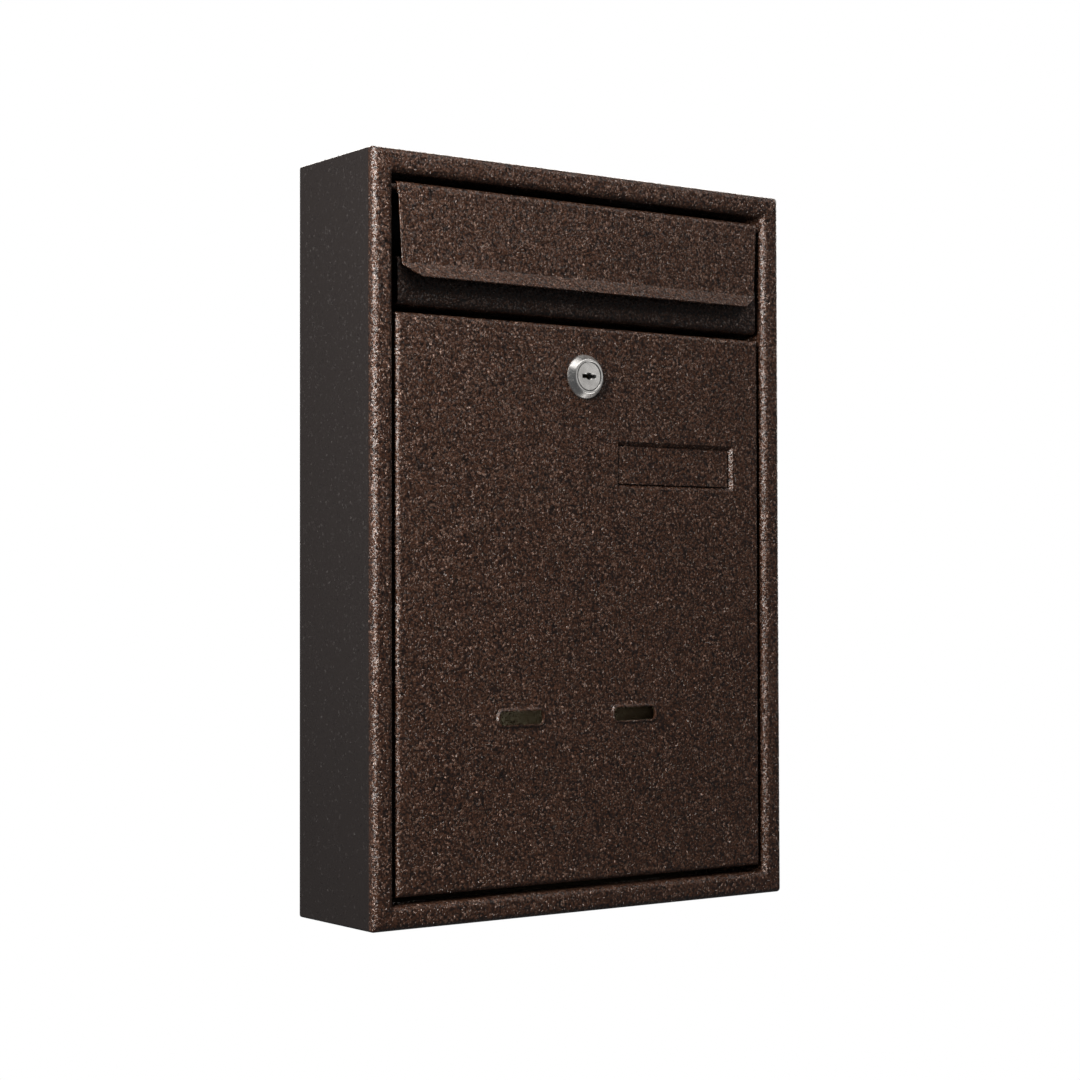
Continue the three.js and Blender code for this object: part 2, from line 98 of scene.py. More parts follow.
KEYHOLE = dict(x=70, z=120, head=4.5, slot=2.5, rise=9)
LOWER_HOLE = dict(x=70, z=-120, radius=3)
BACK_BEND = 1.4
BACK_RIM = 12  # width of the ring round the back that the flat face closes
BACK_CORNER = 1.2
HOLE_FLARE = [(0.35, 0.02), (0.12, -0.06), (0, -0.2), (0, -2)]  # (grow, y) of a soft edge

FLAP = dict(top_half=96.9, bend_half=95.4, curl_half=97.3, bend_z=113.1, foot=1.2)
FLAP_LIP = dict(out=4.6, drop=6.0, chamfer=7.7, fillet=2.4, soft=0.6)

RECESS = dict(left=17, right=81, bottom=24.8, top=42.3, depth=0.6, bend=1.6)
RECESS_LEFT_SHARE = 0.35  # of the mouth's slope, as it is steeper at the left
GROOVE = dict(left=0.06, right=1.3, bottom=0.45, top=0.8, depth=2)  # round the recess's floor
SLOT = dict(length=22.9, height=5.8, z=-75.5, corner=1.9, rim=1.3, rise=0.8)
SLOT_CENTRES = (-35.8, 25.1)

BODY_OF = {
    node: body
    for body, nodes in frame["record"]["behaviour"]["bodies"].items()
    for node in nodes
}


def limits(node):
    """A CAD node's limits in millimetres: (x0, x1), (y0, y1), (z0, z1)."""
    low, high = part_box(node)
    return [(low[i] / MM, high[i] / MM) for i in range(3)]


def joint_place(index, axes):
    """A joint's place in millimetres, on the two axes asked for."""
    return tuple(frame["joints"][index]["pos_m"][axis] / MM for axis in axes)


# ---- Outlines in a plane ----


def arc(centre, radius, start, end, steps):
    """Points on an arc, angles in degrees."""
    angles = [math.radians(start + (end - start) * k / steps) for k in range(steps + 1)]
    return [
        (centre[0] + radius * math.cos(a), centre[1] + radius * math.sin(a))
        for a in angles
    ]


def rounded(half_x, half_z, radius, steps=EDGE_STEPS, centre=(0, 0)):
    """A rectangle with round corners. With a radius of half its height it has round ends."""
    points = []
    for k, (sx, sz) in enumerate([(1, 1), (-1, 1), (-1, -1), (1, -1)]):
        corner = (
            centre[0] + sx * (half_x - radius),
            centre[1] + sz * (half_z - radius),
        )
        points += arc(corner, radius, 90 * k, 90 * k + 90, steps)
    return points


def circle(radius, sides=ROUND, centre=(0, 0)):
    return arc(centre, radius, 0, 360, sides)[:-1]


def keyhole(head, slot, rise, grow=0.0):
    """A round head with a narrower slot above it."""
    head, slot = head + grow, slot + grow
    meet = math.degrees(math.asin(slot / head))
    return arc((0, 0), head, 90 + meet, 450 - meet, 40) + arc(
        (0, rise), slot, 0, 180, 20
    )


def moved(outline, dx, dz):
    return [(x + dx, z + dz) for x, z in outline]


# ---- Meshes ----


def mesh_object(name, points, faces):
    mesh = bpy.data.meshes.new(name)
    mesh.from_pydata([Vector(p) * MM for p in points], [], faces)
    work = bmesh.new()
    work.from_mesh(mesh)
    bmesh.ops.remove_doubles(work, verts=work.verts, dist=1e-7)
    bmesh.ops.recalc_face_normals(work, faces=work.faces)
    work.to_mesh(mesh)
    work.free()
    obj = bpy.data.objects.new(name, mesh)
    bpy.context.scene.collection.objects.link(obj)
    return obj


def loft(name, rings, loop=False):
    """Skins rings of points. Open ends are capped; with loop the last ring meets the first."""
    count = len(rings[0])
    points = [p for ring in rings for p in ring]
    faces = []
    pairs = list(range(len(rings) - 1)) + ([len(rings) - 1] if loop else [])
    for i in pairs:
        a, b = i * count, ((i + 1) % len(rings)) * count
        for k in range(count):
            n = (k + 1) % count
            faces.append((a + k, a + n, b + n, b + k))
    if not loop:
        faces.append(tuple(range(count)))
        faces.append(tuple((len(rings) - 1) * count + k for k in reversed(range(count))))
    return mesh_object(name, points, faces)


def along_y(outline, y):
    return [(x, y, z) for x, z in outline]


def along_x(outline, x):
    return [(x, y, z) for y, z in outline]


def apply_modifiers(obj):
    graph = bpy.context.evaluated_depsgraph_get()
    old = obj.data
    obj.data = bpy.data.meshes.new_from_object(obj.evaluated_get(graph))
    obj.modifiers.clear()
    bpy.data.meshes.remove(old)


def boolean(obj, operation, tools):
    for tool in tools:
        modifier = obj.modifiers.new("boolean", "BOOLEAN")
        modifier.operation = operation
        modifier.solver = "EXACT"
        modifier.object = tool
        bpy.context.view_layer.update()
        apply_modifiers(obj)
        bpy.data.objects.remove(tool)
    return obj


def cut(obj, *tools):
    return boolean(obj, "DIFFERENCE", tools)


def join(obj, *tools):
    return boolean(obj, "UNION", tools)


def smooth(obj, angle=32):
    """Smooth faces that keep flat areas flat."""
    mesh = obj.data
    work = bmesh.new()
    work.from_mesh(mesh)
    bmesh.ops.remove_doubles(work, verts=work.verts, dist=1e-7)
    work.to_mesh(mesh)
    work.free()
    mesh.shade_smooth()
    mesh.set_sharp_from_angle(angle=math.radians(angle))
    weighted = obj.modifiers.new("weighted", "WEIGHTED_NORMAL")
    weighted.keep_sharp = True
    weighted.weight = 100
    bpy.context.view_layer.update()
    apply_modifiers(obj)
    return obj


def bevel(obj, width, segments=3, angle=40):
    modifier = obj.modifiers.new("bevel", "BEVEL")
    modifier.width = width * MM
    modifier.segments = segments
    modifier.limit_method = "ANGLE"
    modifier.angle_limit = math.radians(angle)
    bpy.context.view_layer.update()
    apply_modifiers(obj)
    return obj


# ---- Bent sheet ----


def left_of(direction):
    return Vector((-direction.y, direction.x))


def bent_line(corners, radius, steps=BEND_STEPS):
    """The middle of a bent sheet: (point, normal) pairs, each inner corner an arc."""
    points = [Vector(c) for c in corners]
    ways = [(b - a).normalized() for a, b in zip(points, points[1:])]
    line = [(points[0], left_of(ways[0]))]
    for before, after, corner in zip(ways, ways[1:], points[1:-1]):
        turn = math.atan2(before.cross(after), before.dot(after))
        side = math.copysign(1, turn)
        start = corner - before * radius * math.tan(abs(turn) / 2)
        centre = start + left_of(before) * side * radius
        for k in range(steps + 1):
            normal = left_of(before).copy()
            normal.rotate(Matrix.Rotation(turn * k / steps, 2))
            line.append((centre - normal * side * radius, normal))
    line.append((points[-1], left_of(ways[-1])))
    return line


def round_edge(point, normal, outward):
    """A sheet's rounded edge, from the side that the normal points to over to the other."""
    points = []
    for start, side in ((0, 1), (90, -1)):
        centre = point - outward * EDGE + normal * side * (SHEET / 2 - EDGE)
        for k in range(EDGE_STEPS + 1):
            a = math.radians(start + 90 * k / EDGE_STEPS)
            points.append(centre + EDGE * (normal * math.cos(a) + outward * math.sin(a)))
    return points


def way_out(line, end):
    """The direction in which a line leaves the sheet at its first (0) or last (-1) point."""
    beyond = line[1][0] if end == 0 else line[-2][0]
    return (line[end][0] - beyond).normalized()


def sheet_outline(line):
    """The closed outline of a sheet whose middle follows a line."""
    half = SHEET / 2
    inner = line[1:-1]
    return (
        [p + n * half for p, n in inner]
        + round_edge(line[-1][0], line[-1][1], way_out(line, -1))
        + [p - n * half for p, n in reversed(inner)]
        + round_edge(line[0][0], -line[0][1], way_out(line, 0))
    )


def strip(name, line, half_widths):
    """A sheet along a line in (y, z), as wide in x at each point as half_widths says."""
    half = SHEET / 2
    rings = []

    def ring(point, normal, width, thickness):
        r = min(EDGE, thickness)
        outline = rounded(width, thickness, r)
        return [(x, point.x + normal.x * n, point.y + normal.y * n) for x, n in outline]

    for end in (0, -1):
        point, normal = line[end]
        outward = way_out(line, end)
        width = half_widths[end]
        caps = []
        for k in range(EDGE_STEPS + 1):
            a = math.radians(90 * k / EDGE_STEPS)
            out = -EDGE * (1 - math.sin(a))
            fall = EDGE * (1 - math.cos(a))
            caps.append(ring(point + outward * out, normal, width - fall, half - fall))
        if end == 0:
            rings = list(reversed(caps))
            rings += [
                ring(p, n, w, half) for (p, n), w in list(zip(line, half_widths))[1:-1]
            ]
        else:
            rings += caps
    return loft(name, rings)


# ---- Materials ----


class Nodes:
    """A material's node tree, with short calls for what the materials below use."""

    def __init__(self, name):
        self.material = bpy.data.materials.new(name)
        self.material.use_nodes = True
        self.tree = self.material.node_tree
        self.shader = self.tree.nodes["Principled BSDF"]
        self.position = self.add("ShaderNodeTexCoord").outputs["Object"]

    def add(self, kind, **settings):
        node = self.tree.nodes.new(kind)
        for key, value in settings.items():
            setattr(node, key, value)
        return node

    def link(self, source, node, key):
        if isinstance(source, bpy.types.NodeSocket):
            self.tree.links.new(source, node.inputs[key])
        else:
            node.inputs[key].default_value = source

    def noise(self, scale, detail=2.0, roughness=0.5, vector=None):
        node = self.add("ShaderNodeTexNoise")
        self.link(vector or self.position, node, "Vector")
        self.link(scale, node, "Scale")
        self.link(detail, node, "Detail")
        self.link(roughness, node, "Roughness")
        return node.outputs["Fac"]

    def cells(self, scale, vector):
        node = self.add("ShaderNodeTexVoronoi")
        self.link(vector, node, "Vector")
        self.link(scale, node, "Scale")
        return node

    def math(self, operation, a, b=0.0, c=0.0, clamp=False):
        node = self.add("ShaderNodeMath", operation=operation, use_clamp=clamp)
        for i, value in enumerate((a, b, c)):
            self.link(value, node, i)
        return node.outputs[0]

    def ramp(self, value, low, high, to_low=0.0, to_high=1.0, smooth=True):
        node = self.add(
            "ShaderNodeMapRange",
            interpolation_type="SMOOTHSTEP" if smooth else "LINEAR",
        )
        for key, v in (
            ("Value", value),
            ("From Min", low),
            ("From Max", high),
            ("To Min", to_low),
            ("To Max", to_high),
        ):
            self.link(v, node, key)
        return node.outputs["Result"]

    def mix(self, factor, a, b):
        node = self.add("ShaderNodeMix", data_type="RGBA")
        self.link(factor, node, "Factor")
        for key, value in (("A", a), ("B", b)):
            socket = [s for s in node.inputs if s.name == key and s.type == "RGBA"][0]
            if isinstance(value, bpy.types.NodeSocket):
                self.tree.links.new(value, socket)
            else:
                socket.default_value = value
        return [s for s in node.outputs if s.type == "RGBA"][0]

    def blend(self, factor, a, b):
        node = self.add("ShaderNodeMix", data_type="FLOAT")
        for key, value in ((0, factor), (2, a), (3, b)):
            self.link(value, node, key)
        return node.outputs[0]

    def unit(self, vector):
        node = self.add("ShaderNodeVectorMath", operation="NORMALIZE")
        self.link(vector.outputs[0], node, 0)
        return node.outputs[0]

    def bump(self, height, distance, normal=None):
        node = self.add("ShaderNodeBump")
        self.link(height, node, "Height")
        self.link(distance, node, "Distance")
        if normal:
            self.link(normal, node, "Normal")
        return node.outputs["Normal"]

    def set(self, **values):
        for key, value in values.items():
            self.link(value, self.shader, key.replace("_", " "))
        return self


FLAKE_LEAN = 1.1  # how far the flakes in the base coat lean, 2 being any way
FLAKE_KEPT = 0.55  # share of that lean outside the brightest beads
COAT_LEAN = 0.5  # share of the lean which shows in the clear coat

# cells or waves per metre
PATTERN = dict(
    beads=930.0,
    flakes=1350.0,
    grain=2600.0,
    swell=330.0,
    flat=700.0,
    tone=1700.0,
    cloud=160.0,
    wobble=900.0,
    drift=70.0,
)
WOBBLE, DRIFT = 0.0008, 0.004  # how far the two warps move the cells, in metres

# where the smoother paint is, in metres: the case's four walls and its back
WALL_X, WALL_Z = 0.1095, 0.1595
WALL_FRONT = (-0.0564, -0.0556)
PLAIN_BACK = (-0.020, -0.018)

PAINT = dict(
    # deep and high: painted shade on the low ground between the beads and lighter bead tops, mixed
    # with random cloud tone
    low_shade_and_dark_tone=(0.041, 0.0158, 0.0074, 1),
    high=(0.060, 0.0246, 0.0124, 1),
    fleck=(0.085, 0.040, 0.023, 1),
    # painted glints on a few random cells
    painted_glint=(0.130, 0.080, 0.058, 1),
    # painted shade in the seams between the beads
    seam_painted_shade=(0.010, 0.004, 0.0025, 1),
    plain=(0.0136, 0.0101, 0.0093, 1),
)


def hammered_paint():
    """Dark brown hammer finish: rounded beads with painted shade in their seams and painted glints
    on a few, smoother on the case's walls.
    """
    n = Nodes("hammered_brown_paint")
    split = n.add("ShaderNodeSeparateXYZ")
    n.link(n.position, split, "Vector")
    x, y, z = (split.outputs[i] for i in range(3))

    # 1 on the outside of the case's four walls, behind the front bend
    on_side = n.math("GREATER_THAN", n.math("ABSOLUTE", x), WALL_X)
    on_top = n.math("GREATER_THAN", n.math("ABSOLUTE", z), WALL_Z)
    wall = n.math("MAXIMUM", on_side, on_top)
    behind = n.ramp(y, *WALL_FRONT)
    at_back = n.ramp(y, *PLAIN_BACK)
    plain = n.math("MAXIMUM", n.math("MULTIPLY", wall, behind), at_back)

    # beads: small domes of uneven height, wobbled so that they aren't round
    place = n.position
    for scale, reach in ((PATTERN["drift"], DRIFT), (PATTERN["wobble"], WOBBLE)):
        warp = n.add("ShaderNodeTexNoise")
        n.link(n.position, warp, "Vector")
        n.link(scale, warp, "Scale")
        shift = n.add("ShaderNodeVectorMath", operation="MULTIPLY_ADD")
        n.link(warp.outputs["Color"], shift, 0)
        n.link((reach,) * 3, shift, 1)
        n.link(place, shift, 2)
        place = shift.outputs[0]
    beads = n.cells(PATTERN["beads"], place)
    pick = n.add("ShaderNodeSeparateColor")
    n.link(beads.outputs["Color"], pick, 0)
    tall = n.ramp(pick.outputs[0], 0.25, 1.0, 0.12, 1.0)
    # a few random cells, which get painted glints and lean their flakes further
    painted_glint = n.ramp(pick.outputs[1], 0.72, 0.88)
    dome = n.math("MULTIPLY", n.ramp(beads.outputs["Distance"], 0.52, 0.0), tall)
    # the seams between the beads, which get painted shade
    seam_painted_shade = n.ramp(beads.outputs["Distance"], 0.42, 0.78)
    grain = n.noise(PATTERN["grain"], 2.0, 0.6)
    swell = n.noise(PATTERN["swell"], 2.0)
    height = n.math("MULTIPLY_ADD", grain, 0.22, dome)
    height = n.math("MULTIPLY_ADD", swell, 0.5, height)

    flat = n.math("MULTIPLY", n.noise(PATTERN["flat"], 3.0, 0.6), 0.15)
    relief = n.blend(plain, height, flat)

    # flakes: facets that lean every way, each as wide as its cell
    flakes = n.cells(PATTERN["flakes"], place)
    lean = n.add("ShaderNodeVectorMath", operation="MULTIPLY_ADD")
    n.link(flakes.outputs["Color"], lean, 0)
    n.link((FLAKE_LEAN,) * 3, lean, 1)
    n.link((-FLAKE_LEAN / 2,) * 3, lean, 2)
    kept = n.add("ShaderNodeVectorMath", operation="SCALE")
    n.link(lean.outputs[0], kept, 0)
    share = n.math("MULTIPLY_ADD", painted_glint, 1.0, FLAKE_KEPT)
    n.link(n.math("SUBTRACT", share, plain, clamp=True), kept, "Scale")
    normal = n.add("ShaderNodeNewGeometry").outputs["Normal"]
    facet = n.add("ShaderNodeVectorMath", operation="ADD")
    n.link(normal, facet, 0)
    n.link(kept.outputs[0], facet, 1)
    soft = n.add("ShaderNodeVectorMath", operation="MULTIPLY_ADD")
    n.link(kept.outputs[0], soft, 0)
    n.link((COAT_LEAN,) * 3, soft, 1)
    n.link(normal, soft, 2)

    # colour: brown beads, painted shade on the low ground and in the seams between them, a few
    # coppery flecks, and painted glints on a few cells
    tone = n.noise(PATTERN["tone"], 2.0)
    cloud = n.noise(PATTERN["cloud"], 3.0)
    # painted shade: darker low ground and lighter bead tops, mixed with random cloud tone
    tops_lit_and_cloud = n.ramp(n.math("MULTIPLY_ADD", cloud, 0.6, dome), 0.15, 0.85)
    base = n.mix(tops_lit_and_cloud, PAINT["low_shade_and_dark_tone"], PAINT["high"])
    base = n.mix(n.ramp(tone, 0.56, 0.76), base, PAINT["fleck"])
    # painted glints on a few random cells
    base = n.mix(n.math("MULTIPLY", painted_glint, 0.5), base, PAINT["painted_glint"])
    # painted shade in the seams between the beads
    base = n.mix(seam_painted_shade, base, PAINT["seam_painted_shade"])
    base = n.mix(plain, base, PAINT["plain"])
    rough = n.blend(plain, n.ramp(grain, 0.3, 0.7, 0.40, 0.54), 0.58)
    n.set(
        Base_Color=base,
        Metallic=0.35,
        Roughness=rough,
        Specular_IOR_Level=0.35,
        Coat_Weight=0.8,
        Coat_Roughness=0.11,
        Normal=n.bump(relief, 0.0002, normal=n.unit(facet)),
        Coat_Normal=n.bump(relief, 0.00085, normal=n.unit(soft)),
    )
    return n.material


def metal(name, colour, roughness, scale, depth, spread=0.12, metallic=1.0):
    """Bare or plated metal with fine unevenness in tone, gloss and surface."""
    n = Nodes(name)
    fine = n.noise(scale, 4.0, 0.6)
    broad = n.noise(scale / 14, 2.0)
    darker = tuple(0.72 * c for c in colour) + (1,)
    n.set(
        Base_Color=n.mix(n.ramp(broad, 0.3, 0.7), darker, colour + (1,)),
        Metallic=metallic,
        Roughness=n.ramp(fine, 0.3, 0.7, roughness - spread / 2, roughness + spread / 2),
        Normal=n.bump(fine, depth),
    )
    return n.material


paint = hammered_paint()
zinc = metal("zinc_plated_steel", (0.60, 0.61, 0.62), 0.36, 1800.0, 0.00001)
chrome = metal("satin_chrome", (0.78, 0.78, 0.77), 0.3, 3000.0, 0.000004, metallic=0.8)
brass = metal("wafer_brass", (0.62, 0.44, 0.17), 0.32, 2500.0, 0.000005)
spring_steel = metal("spring_steel", (0.42, 0.43, 0.45), 0.3, 4000.0, 0.000003)
cap_steel = metal("pressed_cap_steel", (0.50, 0.51, 0.52), 0.38, 2200.0, 0.000008)


def stand_for(obj, node, material, angle=32):
    """Finishes a piece: it takes a CAD node's place, its body and a material."""
    smooth(obj, angle)
    obj.data.materials.clear()
    obj.data.materials.append(material)
    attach(obj, BODY_OF[node])
    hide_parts(node)
    return obj


# ---- Case ----

CASE_X, CASE_Y, CASE_Z = limits("case_shell")
CASE_HALF = CASE_X[1]
CASE_FRONT = CASE_Y[0]
CASE_RISE = CASE_Z[1] - CASE_HALF  # half of what the height has over the width
OPENING = CASE_HALF - FRAME_WIDTH

FLAP_AXIS = joint_place(0, (1, 2))
DOOR_AXIS = joint_place(1, (1, 2))
LOCK_AXIS = joint_place(2, (0, 2))


def round_the_case(section, corner, rise, centre_z=0.0):
    """Rings of a section of (out, y) carried round a rectangle."""
    return [
        along_y(moved(rounded(u, u + rise, corner), 0, centre_z), y) for u, y in section
    ]


def rod_hole(x0, x1, axis):
    return loft("tool", [along_x(circle(ROD_HOLE, SMALL_ROUND, axis), x) for x in (x0, x1)])


def case_shell():
    half = SHEET / 2
    wall, front = CASE_HALF - half, CASE_FRONT + half
    lip = OPENING + half
    corners = [(wall, 0), (wall, front), (lip, front), (lip, CASE_FRONT + FRAME_RETURN)]
    section = sheet_outline(bent_line(corners, FRAME_BEND - half))
    shell = loft("case_sheet", round_the_case(section, CASE_CORNER, CASE_RISE), loop=True)
    holes = [
        rod_hole(side * (OPENING - 1), side * (OPENING + 2), axis)
        for axis in (FLAP_AXIS, DOOR_AXIS)
        for side in (-1, 1)
    ]
    return cut(shell, *holes)


def back_panel():
    """A shallow tray, open towards the front."""
    (_, out), (front, _), (_, top) = limits("back_panel")
    half = SHEET / 2
    corners = [(out - half, front), (out - half, -half), (out - BACK_RIM, -half)]
    line = bent_line(corners, BACK_BEND)
    outer = [p + n * half for p, n in reversed(line[1:])]
    inner = [p - n * half for p, n in line[1:]]
    edge = round_edge(line[0][0], line[0][1], way_out(line, 0))
    section = outer + edge + inner
    panel = loft("back_sheet", round_the_case(section, BACK_CORNER, top - out))
    key_x, key_z, head, slot, rise = KEYHOLE.values()
    hole_x, hole_z, radius = LOWER_HOLE.values()
    tools = []
    for side in (-1, 1):
        upper = [
            along_y(moved(keyhole(head, slot, rise, grow), side * key_x, key_z), y)
            for grow, y in HOLE_FLARE
        ]
        lower = [
            along_y(circle(radius + grow, SMALL_ROUND, (side * hole_x, hole_z)), y)
            for grow, y in HOLE_FLARE
        ]
        tools += [loft("tool", upper), loft("tool", lower)]
    return cut(panel, *tools)


def cross_rail():
    """A folded rail with a strap behind it, and a tab at each end against the case's wall."""
    (_, wide), (y0, _), (z0, z1) = limits("cross_rail")
    half = SHEET / 2
    face, bottom, top = y0 + half, z0 + half, z1 - half
    strap = CASE_FRONT + FRAME_RETURN + RAIL_STRAP
    corners = [(face + RAIL_FLANGE, top), (face, top), (face, bottom), (strap, bottom)]
    corners.append((strap, bottom + RAIL_LIP))
    line = bent_line(corners, SHEET_BEND - half)
    start = bottom + SHEET_BEND
    normal = line[-1][1]
    widen = [(Vector((strap, z)), normal) for z in (start, start + 0.3)]
    line = line[:-1] + widen + [line[-1]]
    reach = wide - SHEET - 1
    widths = [RAIL_HALF] * (len(line) - 2) + [reach] * 2
    rail = strip("rail_sheet", line, widths)
    tabs = []
    for side in (-1, 1):
        wall = side * (wide - half)
        corners = [(side * (reach - 3), strap), (wall, strap), (wall, strap - half + RAIL_TAB)]
        outline = sheet_outline(bent_line(corners, RAIL_TAB_BEND, 6))
        end = bottom + RAIL_LIP
        levels = (start, start + 0.12, end - 0.12, end)
        tabs.append(loft("tool", [[(p.x, p.y, z) for p in outline] for z in levels]))
    return join(rail, *tabs)


# ---- Flap ----


def mail_flap():
    """The front panel from its finger lip up to the edge that is rolled round the rod."""
    top_half, bend_half, curl_half, bend_z, foot = FLAP.values()
    out, drop, chamfer, radius, soft = FLAP_LIP.values()
    half = SHEET / 2
    foot += CASE_FRONT + half
    edge = Vector((foot - out + half, bend_z - drop + half))
    bend = Vector((foot, bend_z))
    top = Vector((FLAP_AXIS[0] - CURL_RADIUS + half, FLAP_AXIS[1]))
    line = bent_line([edge, bend, top], SHEET_BEND - half)
    # the lip: points on its fillet and chamfer between the edge and the bend
    lip_length = (line[1][0] - line[0][0]).length
    slope = math.atan2(drop, chamfer)  # of the chamfer against the edge, seen from the front
    tangent = radius * math.tan(slope / 2)
    corner_half = bend_half - chamfer
    lip = []
    for k in range(8):
        a = slope * k / 7
        lip.append((radius * (1 - math.cos(a)), corner_half - tangent + radius * math.sin(a)))
    direction = (line[1][0] - line[0][0]).normalized()
    normal = line[0][1]
    points = [(line[0][0] + direction * t, normal) for t, _ in lip]
    widths = [w for _, w in lip]
    last_t, last_w = lip[-1]
    full = (bend_half - last_w) * math.tan(slope) + last_t  # where the chamfer meets the side
    for t in (full - soft, full - 0.3 * soft, full + 0.4 * soft):
        if last_t < t < lip_length:
            w = bend_half - max(full - t, 0) / math.tan(slope)
            if t > full - 0.5 * soft:
                w -= 0.08
            points.append((line[0][0] + direction * t, normal))
            widths.append(min(w, bend_half))
    for p, n in line[1:-1]:
        points.append((p, n))
        widths.append(bend_half)
    curl_start = FLAP_AXIS[1] - CURL_RADIUS + 0.5
    grow = (top_half - bend_half) / (curl_start - bend_z)
    for z in (curl_start - 0.6, curl_start - 0.05):
        share = (z - bend.y) / (top.y - bend.y)
        p = bend.lerp(top, share)
        points.append((p, line[-1][1]))
        widths.append(bend_half + grow * (z - bend_z))
    share = (curl_start + 0.15 - bend.y) / (top.y - bend.y)
    points.append((bend.lerp(top, share), line[-1][1]))
    widths.append(curl_half)
    points.append((top, line[-1][1]))
    widths.append(curl_half)
    # the rolled edge, clockwise about the axis
    axis = Vector(FLAP_AXIS)
    steps = 40
    for k in range(1, steps + 1):
        a = math.pi - CURL_WRAP * k / steps
        n = Vector((math.cos(a), math.sin(a)))
        points.append((axis + n * (CURL_RADIUS - half), n))
        widths.append(curl_half)
    return strip("flap_sheet", points, widths)


# ---- Door ----

DOOR_X, DOOR_Y, DOOR_Z = limits("door_panel")
DOOR_FACE = DOOR_Y[1] - DOOR_RETURN
BARREL = 8.0
BARREL_FLAT = 7.25
GAP = 0.3


def recess_rings(profile, inset=None, left_share=1.0):
    """Rings round the recess, grown by out, less at the left; inset moves each side in first."""
    left, right, low, high = (RECESS[side] for side in ("left", "right", "bottom", "top"))
    if inset:
        left, right = left + inset["left"], right - inset["right"]
        low, high = low + inset["bottom"], high - inset["top"]
    rings = []
    for out, y in profile:
        out_left = out * left_share
        centre = ((left - out_left + right + out) / 2, (low + high) / 2)
        half_x, half_z = (right - left + out + out_left) / 2, (high - low) / 2 + out
        outline = rounded(half_x, half_z, max(0.5 + out_left, 0.15), 5, centre)
        rings.append(along_y(outline, DOOR_FACE + y))
    return rings


def slot_rings(profile, x):
    half_x, half_z = SLOT["length"] / 2, SLOT["height"] / 2
    rings = []
    for out, y in profile:
        outline = rounded(half_x + out, half_z + out, SLOT["corner"] + out, 10, (x, SLOT["z"]))
        rings.append(along_y(outline, DOOR_FACE + y))
    return rings


def quarter(start, end, steps=5):
    """Points from start to end on a quarter of an ellipse, as (out, y)."""
    points = []
    for k in range(steps + 1):
        a = math.radians(90 * k / steps)
        u, v = math.sin(a), 1 - math.cos(a)
        points.append((start[0] + (end[0] - start[0]) * u, start[1] + (end[1] - start[1]) * v))
    return points


def door_panel():
    half = SHEET / 2
    out = DOOR_X[1] - half
    rise = (DOOR_Z[1] - DOOR_Z[0]) / 2 - DOOR_X[1]
    centre_z = (DOOR_Z[0] + DOOR_Z[1]) / 2
    face = DOOR_FACE + half
    corners = [(out, DOOR_Y[1]), (out, face), (out - DOOR_RIM, face)]
    line = bent_line(corners, SHEET_BEND - half)
    inner = [p - n * half for p, n in reversed(line[1:])]
    outer = [p + n * half for p, n in line[1:]]
    edge = round_edge(line[0][0], -line[0][1], way_out(line, 0))
    tray = loft(
        "door_sheet", round_the_case(inner + edge + outer, DOOR_CORNER, rise, centre_z)
    )
    depth, bottom, bend = RECESS["depth"], GROOVE["depth"], RECESS["bend"]
    pan = recess_rings(
        [(bend + 0.9, half), (bend + 0.7, SHEET)]
        + quarter((bend + 0.6, SHEET), (SHEET, bend + 0.5), 4)
        + quarter((SHEET, bend + 0.5), (0.3, bottom + SHEET), 4)
    )
    tools = [loft("tool", pan)]
    rims = []
    top = -SLOT["rise"]
    for x in SLOT_CENTRES:
        rim = [(SLOT["rim"] + 0.3, half), (SLOT["rim"] + 0.3, 0.03), (SLOT["rim"], -0.04)]
        rim += [(0.6, top + 0.1), (0.5, top + 0.03), (0.35, top)]
        rims.append(loft("tool", slot_rings(rim, x)))
    join(tray, *tools, *rims)
    mouth = [(bend + 0.35, -0.6), (bend + 0.02, -0.01), (bend - 0.12, 0.08), (0.08, bend - 0.12)]
    mouth += [(0.0, bend), (0.0, bottom - 0.1), (-0.1, bottom)]
    island = [(0.1, bottom), (0.0, bottom - 0.1), (0.0, depth + 0.15)]
    island += [(-0.05, depth + 0.05), (-0.15, depth)]
    rings = recess_rings(mouth, None, RECESS_LEFT_SHARE) + recess_rings(island, GROOVE)
    recess = loft("tool", rings)
    slots = []
    for x in SLOT_CENTRES:
        flare = [(0.25, -1.2), (0.16, top - 0.01)] + quarter((0.12, top), (0.0, top + 0.15), 3)
        slots.append(loft("tool", slot_rings(flare + [(0.0, 2)], x)))
    flats = rounded(BARREL_FLAT + GAP, BARREL + GAP + 1, 0.2, 3, LOCK_AXIS)
    round_part = [along_y(circle(BARREL + GAP, ROUND, LOCK_AXIS), DOOR_FACE + y) for y in (-1, 2)]
    lock_hole = boolean(
        loft("tool", round_part),
        "INTERSECT",
        [loft("tool", [along_y(flats, DOOR_FACE + y) for y in (-2, 3)])],
    )
    pins = rod_hole(-120, 120, DOOR_AXIS)
    return cut(tray, recess, *slots, lock_hole, pins)


stand_for(case_shell(), "case_shell", paint)
stand_for(back_panel(), "back_panel", paint)
rail = stand_for(cross_rail(), "cross_rail", paint)
stand_for(mail_flap(), "mail_flap", paint)
stand_for(door_panel(), "door_panel", paint)


# ---- Hinge rods and their caps ----

ROD_RADIUS = 1.5
CAP_WALL = 0.8
ROD_CHAMFER = 0.35


def turned_on_rod(name, profile, axis, loop=False):
    """Turns a profile of (x, radius) about a rod's line."""
    rings = [along_x(circle(r, SMALL_ROUND, axis), x) for x, r in profile]
    return loft(name, rings, loop)


def hinge_rod(node, axis):
    left = limits(node)[0][0]
    soft = ROD_RADIUS - ROD_CHAMFER
    profile = [(left, soft - 0.1), (left + 0.05, soft), (left + ROD_CHAMFER, ROD_RADIUS)]
    profile += [(-x, r) for x, r in reversed(profile)]
    return turned_on_rod(node + "_bar", profile, axis)


